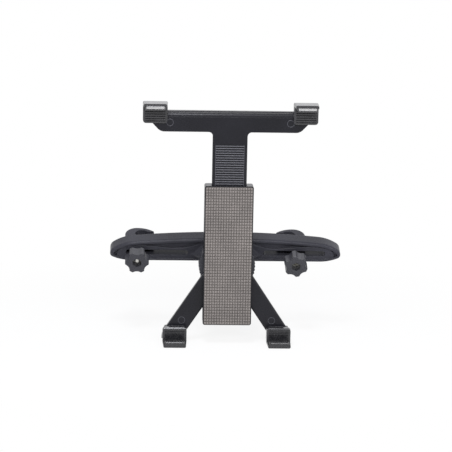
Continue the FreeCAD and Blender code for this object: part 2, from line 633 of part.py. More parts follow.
def make_friction_spring():
    half = SPRING_LENGTH / 2
    floor = COVER_IN - SPRING_POCKET + 0.02
    crest = STEM_FRONT - SLIP / 2
    bow = crest - floor - SPRING_THICK
    steps = 12
    near = []
    far = []
    for k in range(steps + 1):
        u = 2 * k / steps - 1
        y = floor + bow * (1 - u * u)
        near.append((y, SPRING_Z + u * half))
        far.append((y + SPRING_THICK, SPRING_Z + u * half))
    return prism_x(near + far[::-1], -SPRING_WIDTH / 2, SPRING_WIDTH / 2)


def make_top_arm():
    cross_top = CROSS_LOW + CROSS_HEIGHT
    stem = box(-STEM_HALF, STEM_HALF, STEM_FRONT, STEM_BACK, STEM_LOW, CROSS_LOW + 4)
    foot = CROSS_HALF - CROSS_CORNER_X
    outline = [(-foot, CROSS_LOW), (-CROSS_HALF, CROSS_LOW + CROSS_CORNER_Z), (-CROSS_HALF, cross_top),
               (CROSS_HALF, cross_top), (CROSS_HALF, CROSS_LOW + CROSS_CORNER_Z), (foot, CROSS_LOW)]
    cross = prism_y(outline, STEM_FRONT, CROSS_BACK)
    cross = round_edges(cross, V(0, 1, 0), CROSS_ROUND, lambda p: p.z < CROSS_LOW + CROSS_CORNER_Z + 1)
    cove_half = CLAW_X - CLAW_WIDTH / 2
    cove = rod(COVE_RADIUS, V(-cove_half, STEM_FRONT - COVE_FRONT, cross_top),
               V(cove_half, STEM_FRONT - COVE_FRONT, cross_top))
    cross = cross.cut(cove)
    cells = []
    span = 2 * (foot - CROSS_ROUND / 2)
    for k in range(CROSS_CELLS):
        x0 = -span / 2 + k * span / CROSS_CELLS
        cells.append(box(x0 + 0.9, x0 + span / CROSS_CELLS - 0.9, STEM_BACK, CROSS_BACK + 1,
                         CROSS_LOW + WALL, cross_top - COVE_RADIUS - WALL))
    cross = cut(cross, cells)
    arm = join([stem, cross])
    arm = round_edges(arm, V(0, 1, 0), ARM_FILLET,
                      lambda p: abs(abs(p.x) - STEM_HALF) < 0.1 and abs(p.z - CROSS_LOW) < 0.1)
    rib_foot = STEM_LOW + 2 * RIB_PITCH
    trims = [box(-RIB_HALF, RIB_HALF, STEM_FRONT - 1, STEM_FRONT + RIB_DEPTH, rib_foot, RIB_TOP)]
    for side in (-1, 1):
        edge = side * STEM_HALF
        corner = [(edge - side * STEM_CHAMFER, STEM_FRONT - 0.1), (edge + side * 0.1, STEM_FRONT - 0.1),
                  (edge + side * 0.1, STEM_FRONT + STEM_CHAMFER)]
        trims.append(prism_z(corner, STEM_LOW - 1, CROSS_LOW - ARM_FILLET))
    arm = cut(arm, trims)
    ribs = []
    top = RIB_TOP - RIB_PITCH / 2
    while top - RIB_RADIUS > rib_foot:
        y = STEM_FRONT + RIB_RADIUS
        ribs.append(rod(RIB_RADIUS, V(-RIB_HALF - 0.5, y, top), V(RIB_HALF + 0.5, y, top)))
        top = top - RIB_PITCH
    arm = join([arm] + ribs)
    holes = []
    for side in (-1, 1):
        x = side * CLAW_X
        z = CLAW_Z + CLAW_SCREW_Z
        holes.append(rod(CLAW_SCREW_RADIUS + SLIP, V(x, STEM_FRONT - 1, z), V(x, CROSS_BACK + 1, z)))
        holes.append(rod(CLAW_SCREW_HEAD_RADIUS + SLIP, V(x, CLAW_SEAT, z), V(x, CROSS_BACK + 1, z)))
    return cut(arm, holes)


def make_claw(height):
    """Claw that opens downwards, its inner edge at z = 0 and its middle at x = 0."""
    end = CLAW_FACE - CLAW_CHANNEL
    inner = height - CLAW_WALL
    front = end - LIP_THICK / 3
    outline = [(STEM_FRONT, 0.0), (STEM_FRONT, height), (front, height), (front, inner), (CLAW_FACE, inner),
               (CLAW_FACE, 0.0)]
    half = CLAW_WIDTH / 2
    shell = prism_x(outline, -half - CLAW_TAPER, half + CLAW_TAPER)
    tip = end - LIP_THICK
    plan = prism_z([(-half - CLAW_TAPER / 2, STEM_FRONT), (half + CLAW_TAPER / 2, STEM_FRONT),
                    (half - CLAW_TAPER / 2, tip), (-half + CLAW_TAPER / 2, tip)], -1, height + 1)
    shell = shell.common(plan)
    low_corners = [e for e in shell.Edges if e.BoundBox.ZMax < 0.01 and e.BoundBox.YLength > CLAW_PLATE - 0.1]
    shell = shell.makeFillet(CLAW_CORNER, low_corners)
    high_corners = [e for e in shell.Edges
                    if e.BoundBox.ZMin > height - 0.01 and e.BoundBox.YLength > CLAW_CHANNEL]
    shell = shell.makeFillet(LIP_ROUND, high_corners)
    lip_half = half - LIP_MARGIN
    crest = height - LIP_DROP
    lip = prism_x([(end, crest - LIP_HEIGHT), (tip, crest - LIP_HEIGHT), (tip + LIP_LEAN, crest),
                   (end, crest)], -lip_half, lip_half)
    lip = lip.makeFillet(LIP_ROUND, [e for e in lip.Edges if e.BoundBox.YMin < end - 0.01])
    claw = join([shell, lip])
    added = []
    pitch = (inner - 2 * CLAW_BREAK) / CLAW_RIBS
    for k in range(CLAW_RIBS):
        z = 1.5 * CLAW_BREAK + k * pitch
        added.append(prism_x([(CLAW_FACE + 0.3, z), (CLAW_FACE - CLAW_RIB, z + pitch * 0.3),
                              (CLAW_FACE + 0.3, z + pitch * 0.6)], -half + LIP_MARGIN, half - LIP_MARGIN))
    claw = join([claw] + added)
    broken = prism_x([(CLAW_FACE - 0.1, -0.1), (CLAW_FACE + CLAW_BREAK, -0.1), (CLAW_FACE - 0.1, CLAW_BREAK)],
                     -CLAW_WIDTH, CLAW_WIDTH)
    claw = claw.cut(broken)
    depth = CLAW_PLATE - 1.0
    pilot = rod(CLAW_SCREW_RADIUS + THREAD, V(0, STEM_FRONT - depth, CLAW_SCREW_Z),
                V(0, STEM_FRONT + 1, CLAW_SCREW_Z))
    return claw.cut(pilot)


def top_claw(side):
    claw = make_claw(TOP_CLAW_HEIGHT)
    claw.translate(V(side * CLAW_X, 0, CLAW_Z))
    return claw


def low_claw_place():
    """Screw of a lower claw, straight from the leg's pivot."""
    splay = math.radians(LEG_SPLAY)
    return LEG_PIVOT_X + LEG_LENGTH * math.sin(splay), LEG_PIVOT_Z - LEG_LENGTH * math.cos(splay)


def low_claw(side):
    x, z = low_claw_place()
    claw = make_claw(LOW_CLAW_HEIGHT).mirror(V(0, 0, 0), V(0, 0, 1))
    claw.translate(V(side * x, 0, z + CLAW_SCREW_Z))
    return claw


def claw_screw(x, z, seat):
    head = rod(CLAW_SCREW_HEAD_RADIUS, V(x, seat, z), V(x, seat + CLAW_SCREW_HEAD, z))
    shank = rod(CLAW_SCREW_RADIUS, V(x, seat - CLAW_SCREW_LENGTH, z), V(x, seat, z))
    drive = hexagon_y(2.5, seat + 0.6, seat + CLAW_SCREW_HEAD + 1, x, z)
    return join([head, shank]).cut(drive)


def make_top_claw_screws():
    z = CLAW_Z + CLAW_SCREW_Z
    seat = CLAW_SEAT
    return Part.makeCompound([claw_screw(side * CLAW_X, z, seat) for side in (-1, 1)])


def low_claw_screw(side):
    x, z = low_claw_place()
    return claw_screw(side * x, z, CLAW_SEAT)


def make_leg(side):
    """Flat leg splayed from its pivot, bent upright at its foot, with a raised base for the claw."""
    half = LEG_WIDTH / 2
    splay = math.radians(LEG_SPLAY)
    across_x = half * math.cos(splay)
    across_z = half * math.sin(splay)
    x, z = low_claw_place()
    outer = x + CLAW_WIDTH / 2 + FOOT_MARGIN
    inner = x - CLAW_WIDTH / 2
    root = z + CLAW_SCREW_Z
    low = root - FOOT_SHARE * LOW_CLAW_HEIGHT
    first = (-LEG_PIVOT_X - across_x, LEG_PIVOT_Z + across_z)
    last = (-LEG_PIVOT_X + across_x, LEG_PIVOT_Z - across_z)
    bend = first[1] - (outer + first[0]) / math.tan(splay)
    hollow = last[1] - (inner + last[0]) / math.tan(splay)
    low = min(low, bend - FOOT_BEND * math.tan(splay / 2) - 1.0)
    outline = [first, (-outer, bend), (-outer, low), (-inner, low), (-inner, hollow), last]
    strip = prism_y(outline, LEG_FRONT, LEG_BACK)
    along = V(0, 1, 0)
    strip = round_edges(strip, along, FOOT_BEND, lambda p: abs(p.x + outer) < 0.1 and abs(p.z - bend) < 0.1)
    eye = rod(half, V(-LEG_PIVOT_X, LEG_FRONT, LEG_PIVOT_Z), V(-LEG_PIVOT_X, LEG_BACK, LEG_PIVOT_Z))
    strip = join([strip, eye])
    front_edges = [e for e in strip.Edges
                   if e.BoundBox.YMax < LEG_FRONT + 0.01 and e.CenterOfMass.z > low + 0.1
                   and e.CenterOfMass.x < -inner + 0.1 and e.CenterOfMass.x < first[0]]
    strip = strip.makeFillet(LEG_ROUND, front_edges)
    base = box(-outer + FOOT_MARGIN + 1.0, -inner - 1.0, STEM_FRONT, LEG_BACK,
               root - LOW_CLAW_HEIGHT + 1.0, root - 1.0)
    leg = join([strip, round_edges(base, along, 2.0)])
    channel = box(-half + WALL, half - WALL, LEG_BACK - 2.0, LEG_BACK + 1, -LEG_LENGTH + 16, -18.0)
    channel.rotate(V(0, 0, 0), along, LEG_SPLAY)
    channel.translate(V(-LEG_PIVOT_X, 0, LEG_PIVOT_Z))
    leg = leg.cut(channel)
    tools = [rod(PIVOT_RADIUS + RUNNING, V(-LEG_PIVOT_X, LEG_FRONT - 1, LEG_PIVOT_Z),
                 V(-LEG_PIVOT_X, LEG_BACK + 1, LEG_PIVOT_Z)),
             rod(PIVOT_HEAD_RADIUS + SLIP, V(-LEG_PIVOT_X, LEG_FRONT - 1, LEG_PIVOT_Z),
                 V(-LEG_PIVOT_X, LEG_FRONT + PIVOT_SINK, LEG_PIVOT_Z)),
             rod(CLAW_SCREW_RADIUS + SLIP, V(-x, STEM_FRONT - 1, z), V(-x, LEG_BACK + 1, z)),
             rod(CLAW_SCREW_HEAD_RADIUS + SLIP, V(-x, CLAW_SEAT, z), V(-x, LEG_BACK + 1, z))]
    leg = cut(leg, tools)
    return mirror(leg) if side > 0 else leg


def save(name, shape):
    shape.exportStep("parts/" + name + ".step")


os.makedirs("parts", exist_ok=True)

save("headrest_bar", in_bar(make_bar()))
save("ball_stud", in_bar(make_ball_stud()))
save("stud_screw", in_bar(make_stud_screw()))
for name, side, bolt_x, gap, turn in (("left", -1, LEFT_BOLT_X, LEFT_KNOB_GAP, LEFT_KNOB_TURN),
                                      ("right", 1, RIGHT_BOLT_X, RIGHT_KNOB_GAP, RIGHT_KNOB_TURN)):
    save(name + "_hook", in_bar(make_hook(bolt_x, side)))
    save(name + "_bolt", in_bar(make_bolt(bolt_x)))
    save(name + "_knob", in_bar(make_knob(bolt_x, gap, turn)))
    save(name + "_knob_nut", in_bar(make_knob_nut(bolt_x, gap)))
    save(name + "_leg", in_cradle(make_leg(side)))
    save("top_" + name + "_claw", in_cradle(top_claw(side)))
    save("bottom_" + name + "_claw", in_cradle(low_claw(side)))
    save(name + "_claw_screw", in_cradle(low_claw_screw(side)))
save("ball_cup", in_cradle(make_ball_cup()))
save("ball_collar", in_cradle(make_ball_collar()))
save("clamp_ring", in_cradle(make_clamp_ring()))
save("front_cover", in_cradle(make_front_cover()))
save("rear_cover", in_cradle(make_rear_cover()))
save("housing_screws", in_cradle(make_housing_screws()))
save("pivot_screws", in_cradle(make_pivot_screws()))
save("grip_pad", in_cradle(make_grip_pad()))
save("friction_spring", in_cradle(make_friction_spring()))
save("top_arm", in_cradle(make_top_arm()))
save("top_claw_screws", in_cradle(make_top_claw_screws()))
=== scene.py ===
import math

import bpy
import numpy as np
from mathutils import Matrix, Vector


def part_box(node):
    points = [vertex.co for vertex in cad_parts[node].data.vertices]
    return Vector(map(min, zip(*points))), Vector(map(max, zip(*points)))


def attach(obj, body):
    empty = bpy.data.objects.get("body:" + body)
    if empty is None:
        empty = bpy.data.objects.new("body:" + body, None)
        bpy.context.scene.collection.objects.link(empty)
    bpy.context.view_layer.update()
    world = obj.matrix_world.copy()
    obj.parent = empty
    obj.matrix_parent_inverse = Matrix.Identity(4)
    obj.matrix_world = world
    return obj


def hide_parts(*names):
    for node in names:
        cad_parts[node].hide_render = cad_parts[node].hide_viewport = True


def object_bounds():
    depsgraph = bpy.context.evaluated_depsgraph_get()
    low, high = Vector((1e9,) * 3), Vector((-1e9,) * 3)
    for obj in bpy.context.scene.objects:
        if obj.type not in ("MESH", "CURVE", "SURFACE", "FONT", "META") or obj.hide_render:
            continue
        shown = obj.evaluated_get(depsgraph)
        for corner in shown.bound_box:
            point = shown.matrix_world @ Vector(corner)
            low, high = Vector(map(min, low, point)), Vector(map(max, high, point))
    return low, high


bl_info = {
    "name": "Headrest tablet holder",
    "version": (1, 0, 0),
    "blender": (4, 5, 0),
    "location": "3D View > Sidebar > Holder",
    "description": "Dresses the packed tablet holder with its moulded, embossed and plated surfaces",
    "category": "Object",
}

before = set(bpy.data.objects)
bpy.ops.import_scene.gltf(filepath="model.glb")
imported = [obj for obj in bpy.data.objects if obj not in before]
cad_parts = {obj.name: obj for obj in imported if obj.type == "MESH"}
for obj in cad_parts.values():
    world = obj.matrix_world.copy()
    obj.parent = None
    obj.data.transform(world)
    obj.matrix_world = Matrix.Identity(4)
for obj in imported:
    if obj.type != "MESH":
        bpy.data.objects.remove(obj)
CAD_BOX = [list(corner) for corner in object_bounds()]

MM = 0.001

# Where the pieces are, in millimetres, as the solids have them
LEAN = math.radians(18.0)
BALL_Y = -50.95
BALL_Z = BALL_Y * math.sin(LEAN)
PAD_CORNER = 1.1
LEG_BEHIND_PAD = 9.8

# Bolts in the bar's frame: places, then the shapes of thread and head
BOLT_X = {"left": -87.0, "right": 67.8}
BOLT_Z = -3.0
BOLT_SEAT = -9.4
BOLT_END = -42.4
BOLT_RADIUS = 2.5
BOLT_NECK = 2.4
TIP_RADIUS = 1.75
THREAD_DEPTH = 0.45
HEAD_HEIGHT = 2.6
HEAD_FLAT = 4.0
HEAD_CHAMFER_RADIUS = 4.15
HEAD_CHAMFERS = (0.3, 0.4)

# Ribs of the arm: half width, foot and top above the ball, crests behind the pad's face, depths at which
# the painted highlight on the crests starts and is full
RIB_HALF = 13.6
RIB_FOOT = 24.6
RIB_TOP = 121.0
RIB_BEHIND_PAD = 5.0
RIB_HIGHLIGHT_START = 0.3
RIB_HIGHLIGHT_FULL = 0.04

# Ejector marks: width, rise, root behind the face, places beside the middle and above the ball
MARK_WIDTH = 0.7
MARK_RISE = 0.12
MARK_ROOT = 0.02
ARM_MARK = (57.0, 142.0)
LEG_MARK = (43.5, -51.5)

# Stage: floor, what the lamps and the camera face, and the camera's film
FLOOR_HALF = 4000.0
FLOOR_BELOW = 0.5
LAMP_TARGET = (0.0, -50.0, 20.0)
CAMERA_TARGET = (-2.7, -79.7, 28.4)
FILM_WIDTH = 36.0
CLIP_END = 20.0

# Lamps: name, place in millimetres, width and height in metres, watts and colour
LAMPS = (("overhead_softbox", (-150.0, -480.0, 950.0), (0.3, 0.3), 6.5, "#f8f9ff"),
         ("front_softbox", (50.0, -1250.0, 600.0), (0.7, 0.3), 9.0, "#ffffff"),
         ("right_softbox", (800.0, -900.0, 450.0), (0.35, 0.35), 3.0, "#ffffff"),
         ("back_softbox", (200.0, 900.0, 700.0), (1.2, 1.2), 1.5, "#f8f9ff"))

# Nodes by the finish that they have
CRADLE_NODES = ("front_cover", "rear_cover")
LEG_NODES = ("left_leg", "right_leg")
ARM_NODES = ("top_arm",)
BAR_NODES = ("headrest_bar", "left_hook", "right_hook")
GRIP_NODES = ("left_knob", "right_knob", "clamp_ring")
NYLON_NODES = ("ball_stud", "ball_cup", "ball_collar")
CLAW_NODES = ("top_left_claw", "top_right_claw", "bottom_left_claw", "bottom_right_claw")
STEEL_NODES = ("stud_screw", "left_knob_nut", "right_knob_nut", "housing_screws", "pivot_screws",
               "top_claw_screws", "left_claw_screw", "right_claw_screw", "friction_spring")


def linear(code):
    """Linear RGBA of an sRGB hex colour."""
    channels = np.array([int(code[k:k + 2], 16) for k in (1, 3, 5)]) / 255.0
    low = channels / 12.92
    high = ((channels + 0.055) / 1.055) ** 2.4
    values = np.where(channels <= 0.04045, low, high)
    return (float(values[0]), float(values[1]), float(values[2]), 1.0)


def add_node(tree, kind, values=None, links=None, stops=(), **settings):
    """Adds one node with its settings, socket values, links from (node, output) pairs and ramp stops."""
    made = tree.nodes.new(kind)
    for key, value in settings.items():
        setattr(made, key, value)
    for key, value in (values or {}).items():
        made.inputs[key].default_value = value
    for key, (source, output) in (links or {}).items():
        tree.links.new(source.outputs[output], made.inputs[key])
    for count, (place, colour) in enumerate(stops):
        if count == len(made.color_ramp.elements):
            made.color_ramp.elements.new(place)
        made.color_ramp.elements[count].position = place
        made.color_ramp.elements[count].color = colour
    return made


def new_material(name):
    """Empty node material with its output and Object coordinates."""
    made = bpy.data.materials.new(name)
    made.use_nodes = True
    tree = made.node_tree
    tree.nodes.clear()
    output = add_node(tree, "ShaderNodeOutputMaterial")
    coords = add_node(tree, "ShaderNodeTexCoord")
    return made, tree, output, coords


def per_metre(size_mm):
    """Texture scale whose features are about size_mm across on Object coordinates in metres."""
    return 1.0 / (size_mm * MM)


def painted_rib_highlight(tree, coords):
    """Output that is 1 on the crests of the arm's ribs, where a highlight is painted into the colour, and
    0 elsewhere.
    """
    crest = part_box("grip_pad")[0][1] + RIB_BEHIND_PAD * MM
    middle = (BALL_Z + (RIB_FOOT + RIB_TOP) / 2.0) * MM
    half = (RIB_TOP - RIB_FOOT) / 2.0 * MM
    place = add_node(tree, "ShaderNodeSeparateXYZ", links={"Vector": (coords, "Object")})
    across = add_node(tree, "ShaderNodeMath", {1: 0.0, 2: RIB_HALF * MM}, {0: (place, "X")},
                      operation="COMPARE")
    along = add_node(tree, "ShaderNodeMath", {1: middle, 2: half}, {0: (place, "Z")},
                     operation="COMPARE")
    field = add_node(tree, "ShaderNodeMath", links={0: (across, "Value"), 1: (along, "Value")},
                     operation="MULTIPLY")
    # Painted highlight: it fades in below the crests and is full on them
    ramped = add_node(tree, "ShaderNodeMapRange",
                    {"From Min": crest + RIB_HIGHLIGHT_START * MM, "From Max": crest + RIB_HIGHLIGHT_FULL * MM},
                    {"Value": (place, "Y")})
    both = add_node(tree, "ShaderNodeMath", links={0: (field, "Value"), 1: (ramped, "Result")},
                    operation="MULTIPLY")
    return both, "Value"


def moulded_abs(name, dark, light, rough, shine, grain_mm, edge_mm, painted_highlight=None):
    """ABS moulded in a spark-eroded tool: dark, dull sheen, fine pebble with pale glints, broken edges.

    The real grain is about 0.1 mm; it is drawn coarser so that it shows."""
    made, tree, output, coords = new_material(name)
    grain = add_node(tree, "ShaderNodeTexNoise",
                     {"Scale": per_metre(grain_mm), "Detail": 3.0, "Roughness": 0.6},
                     {"Vector": (coords, "Object")})
    flow = add_node(tree, "ShaderNodeTexNoise", {"Scale": per_metre(38.0), "Detail": 2.0},
                    {"Vector": (coords, "Object")})
    tone = add_node(tree, "ShaderNodeValToRGB", links={"Fac": (flow, "Fac")},
                    stops=((0.3, dark), (0.7, light)))
    glint = add_node(tree, "ShaderNodeMapRange",
                     {"From Min": 0.66, "From Max": 0.78, "To Min": 0.0, "To Max": 0.5},
                     {"Value": (grain, "Fac")})
    colour = add_node(tree, "ShaderNodeMix", {7: linear("#4a4a50")},
                      {0: (glint, "Result"), 6: (tone, "Color")}, data_type="RGBA")
    # Painted highlight: the crests of the arm's ribs get a lighter colour
    if painted_highlight is not None:
        colour = add_node(tree, "ShaderNodeMix", {7: painted_highlight},
                          {0: painted_rib_highlight(tree, coords), 6: (colour, 2)}, data_type="RGBA")
    sheen = add_node(tree, "ShaderNodeMapRange",
                     {"From Min": 0.3, "From Max": 0.7, "To Min": rough - 0.05, "To Max": rough + 0.07},
                     {"Value": (grain, "Fac")})
    edge = add_node(tree, "ShaderNodeBevel", {"Radius": edge_mm * MM}, samples=4)
    bump = add_node(tree, "ShaderNodeBump", {"Strength": 0.14, "Distance": 0.06 * MM},
                    {"Height": (grain, "Fac"), "Normal": (edge, "Normal")})
    shader = add_node(tree, "ShaderNodeBsdfPrincipled", {"IOR": 1.54, "Specular IOR Level": shine},
                      {"Base Color": (colour, 2), "Roughness": (sheen, "Result"),
                       "Normal": (bump, "Normal")})
    tree.links.new(shader.outputs["BSDF"], output.inputs["Surface"])
    return made


def moulded_nylon(name, dark, light):
    """Glass-filled nylon, moulded smooth: black with a soft satin gloss and faint flow marks."""
    made, tree, output, coords = new_material(name)
    flow = add_node(tree, "ShaderNodeTexNoise", {"Scale": per_metre(6.0), "Detail": 4.0},
                    {"Vector": (coords, "Object")})
    tone = add_node(tree, "ShaderNodeValToRGB", links={"Fac": (flow, "Fac")},
                    stops=((0.35, dark), (0.65, light)))
    bump = add_node(tree, "ShaderNodeBump", {"Strength": 0.08, "Distance": 0.05 * MM},
                    {"Height": (flow, "Fac")})
    shader = add_node(tree, "ShaderNodeBsdfPrincipled", {"Roughness": 0.36, "IOR": 1.53},
                      {"Base Color": (tone, "Color"), "Normal": (bump, "Normal")})
    tree.links.new(shader.outputs["BSDF"], output.inputs["Surface"])
    return made


def moulded_rubber(name, dark, light):
    """Soft thermoplastic rubber from a polished tool: black, clearly shiny, slightly uneven skin."""
    made, tree, output, coords = new_material(name)
    skin = add_node(tree, "ShaderNodeTexNoise", {"Scale": per_metre(3.5), "Detail": 1.0},
                    {"Vector": (coords, "Object")})
    tone = add_node(tree, "ShaderNodeValToRGB", links={"Fac": (skin, "Fac")},
                    stops=((0.3, dark), (0.7, light)))
    gloss = add_node(tree, "ShaderNodeMapRange",
                     {"From Min": 0.3, "From Max": 0.7, "To Min": 0.2, "To Max": 0.26},
                     {"Value": (skin, "Fac")})
    bump = add_node(tree, "ShaderNodeBump", {"Strength": 0.02, "Distance": 0.05 * MM},
                    {"Height": (skin, "Fac")})
    shader = add_node(tree, "ShaderNodeBsdfPrincipled", {"IOR": 1.52, "Specular IOR Level": 0.6},
                      {"Base Color": (tone, "Color"), "Roughness": (gloss, "Result"),
                       "Normal": (bump, "Normal")})
    tree.links.new(shader.outputs["BSDF"], output.inputs["Surface"])
    return made


def embossed_foam(name, valley, crest):
    """Closed-cell EVA foam, hot-embossed: warm grey, dull, with painted shade between the studs and
    painted light on their tops, patchy from use.
    """
    made, tree, output, coords = new_material(name)
    cells = add_node(tree, "ShaderNodeTexNoise",
                     {"Scale": per_metre(0.9), "Detail": 4.0, "Roughness": 0.7},
                     {"Vector": (coords, "Object")})
    patch = add_node(tree, "ShaderNodeTexNoise", {"Scale": per_metre(14.0), "Detail": 3.0},
                     {"Vector": (coords, "Object")})
    depth = add_node(tree, "ShaderNodeAttribute", attribute_name="stud_height")
    # Painted shade and light: the foam's colour runs from dark in the valleys to light on the stud tops
    tone = add_node(tree, "ShaderNodeValToRGB", links={"Fac": (depth, "Fac")},
                    stops=((0.0, valley), (0.8, crest)))
    handled = add_node(tree, "ShaderNodeValToRGB", links={"Fac": (patch, "Fac")},
                       stops=((0.3, linear("#e4e4e4")), (0.7, linear("#ffffff"))))
    mixed = add_node(tree, "ShaderNodeMix", {0: 1.0}, {6: (tone, "Color"), 7: (handled, "Color")},
                     data_type="RGBA", blend_type="MULTIPLY")
    ramped = add_node(tree, "ShaderNodeMapRange",
                    {"From Min": 0.3, "From Max": 0.7, "To Min": 0.66, "To Max": 0.86},
                    {"Value": (patch, "Fac")})
    bump = add_node(tree, "ShaderNodeBump", {"Strength": 0.25, "Distance": 0.1 * MM},
                    {"Height": (cells, "Fac")})
    shader = add_node(tree, "ShaderNodeBsdfPrincipled", {"IOR": 1.45, "Sheen Weight": 0.05},
                      {"Base Color": (mixed, 2), "Roughness": (ramped, "Result"),
                       "Normal": (bump, "Normal")})
    tree.links.new(shader.outputs["BSDF"], output.inputs["Surface"])
    return made


def plated_steel(name, base, bright):
    """Zinc-plated steel, tumbled: bright grey metal with fine random scuffs."""
    made, tree, output, coords = new_material(name)
    scuff = add_node(tree, "ShaderNodeTexNoise",
                     {"Scale": per_metre(0.8), "Detail": 5.0, "Roughness": 0.65},
                     {"Vector": (coords, "Object")})
    tone = add_node(tree, "ShaderNodeValToRGB", links={"Fac": (scuff, "Fac")},
                    stops=((0.3, base), (0.7, bright)))
    rough = add_node(tree, "ShaderNodeMapRange",
                     {"From Min": 0.3, "From Max": 0.7, "To Min": 0.18, "To Max": 0.38},
                     {"Value": (scuff, "Fac")})
    bump = add_node(tree, "ShaderNodeBump", {"Strength": 0.12, "Distance": 0.03 * MM},
                    {"Height": (scuff, "Fac")})
    shader = add_node(tree, "ShaderNodeBsdfPrincipled", {"Metallic": 1.0},
                      {"Base Color": (tone, "Color"), "Roughness": (rough, "Result"),
                       "Normal": (bump, "Normal")})
    tree.links.new(shader.outputs["BSDF"], output.inputs["Surface"])
    return made


def seen_rays(tree):
    """Output that is 1 for rays that see a surface: from the camera, mirrored or passed through."""
    path = add_node(tree, "ShaderNodeLightPath")
    first = add_node(tree, "ShaderNodeMath",
                     links={0: (path, "Is Camera Ray"), 1: (path, "Is Glossy Ray")}, operation="ADD")
    both = add_node(tree, "ShaderNodeMath",
                    links={0: (first, "Value"), 1: (path, "Is Transmission Ray")},
                    operation="ADD", use_clamp=True)
    return both, "Value"


def paper_floor(name):
    """White paper, matte: seen as white far off, and darkened a little by the object's shadow near it."""
    made, tree, output, coords = new_material(name)
    glow = add_node(tree, "ShaderNodeEmission", {"Color": linear("#ffffff"), "Strength": 1.0})
    matte = add_node(tree, "ShaderNodeBsdfDiffuse", {"Color": linear("#f4f4f4")})
    away = add_node(tree, "ShaderNodeVectorMath", links={0: (coords, "Object")}, operation="LENGTH")
    share = add_node(tree, "ShaderNodeMapRange",
                     {"From Min": 0.1, "From Max": 0.35, "To Min": 0.86, "To Max": 1.0},
                     {"Value": (away, "Value")})
    seen = add_node(tree, "ShaderNodeMath", links={0: seen_rays(tree), 1: (share, "Result")},
                    operation="MULTIPLY")
    mix = add_node(tree, "ShaderNodeMixShader",
                   links={0: (seen, "Value"), 1: (matte, "BSDF"), 2: (glow, "Emission")})
    tree.links.new(mix.outputs["Shader"], output.inputs["Surface"])
    made.cycles.emission_sampling = "NONE"
    return made


def dress(nodes, made):
    """Gives CAD nodes their material."""
    for name in nodes:
        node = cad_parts[name]
        if not node.material_slots:
            node.data.materials.append(made)
        for place in node.material_slots:
            place.material = made


def grid_faces(rows, columns, closed):
    """Quads of a rows by columns grid of points; closed joins the last column to the first."""
    last = columns if closed else columns - 1
    row, column = np.meshgrid(np.arange(rows - 1), np.arange(last), indexing="ij")
    after = (column + 1) % columns
    quads = np.stack([row * columns + column, row * columns + after, (row + 1) * columns + after,
                      (row + 1) * columns + column], axis=-1)
    return quads.reshape(-1, 4)


def new_piece(name, points, faces, made, body, smooth):
    """Mesh object at the origin from points in millimetres, riding on a body."""
    mesh = bpy.data.meshes.new(name)
    mesh.from_pydata((np.asarray(points) * MM).tolist(), [], [list(f) for f in faces])
    mesh.materials.append(made)
    mesh.polygons.foreach_set("use_smooth", np.full(len(mesh.polygons), smooth))
    mesh.update()
    piece = bpy.data.objects.new(name, mesh)
    bpy.context.scene.collection.objects.link(piece)
    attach(piece, body)
    return piece


def lean_with_bar(points):
    """Turns points from the bar's frame, y towards the seat and z along the posts, to the row frame."""
    x, y, z = np.moveaxis(np.asarray(points), -1, 0)
    turned_y = y * math.cos(LEAN) - z * math.sin(LEAN)
    turned_z = y * math.sin(LEAN) + z * math.cos(LEAN)
    return np.stack([x, turned_y, turned_z], axis=-1)


def stud_wave(count, samples):
    """Height from 0 to 1 of a row of pillow studs: 1 - (2f - 1) squared, f running 0 to 1 over each."""
    share = (np.arange(count * samples + 1) / samples) % 1.0
    return 1.0 - (2.0 * share - 1.0) ** 2


def embossed_pad(columns, rows, depth_mm):
    """Closed slab whose front is a grid of studs.

    Front point (u, v): z runs evenly up the pad and x across it, over a width that follows the rounded
    corners, and y comes forward by depth times the product of two stud waves, one across and one up, to
    the power 0.7. The rim drops straight to the back, which is one face."""
    low, high = (np.array(corner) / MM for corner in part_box("grip_pad"))
    samples = 6
    across = columns * samples + 1
    up = rows * samples + 1
    height = (stud_wave(columns, samples)[None, :] * stud_wave(rows, samples)[:, None]) ** 0.7
    level = np.linspace(low[2], high[2], up)
    inward = PAD_CORNER - np.minimum(np.minimum(level - low[2], high[2] - level), PAD_CORNER)
    half = (high[0] - low[0]) / 2.0 - PAD_CORNER + np.sqrt(PAD_CORNER ** 2 - inward ** 2)
    x = (low[0] + high[0]) / 2.0 + half[:, None] * np.linspace(-1.0, 1.0, across)[None, :]
    z = level[:, None] + np.zeros((1, across))
    y = low[1] + depth_mm * (1.0 - height)
    front = np.stack([x, y, z], axis=-1).reshape(-1, 3)
    index = np.arange(up * across).reshape(up, across)
    rim = np.concatenate([index[0, :-1], index[:-1, -1], index[-1, :0:-1], index[:0:-1, 0]])
    back = front[rim].copy()
    back[:, 1] = high[1]
    count = len(rim)
    start = up * across
    here = np.arange(count)
    after = (here + 1) % count
    sides = np.stack([rim[here], start + here, start + after, rim[after]], axis=-1)
    faces = [list(f) for f in grid_faces(up, across, False)] + [list(f) for f in sides]
    faces.append(list(start + here[::-1]))
    points = np.concatenate([front, back])
    shade = np.concatenate([height.reshape(-1), np.zeros(count)])
    return points, faces, shade


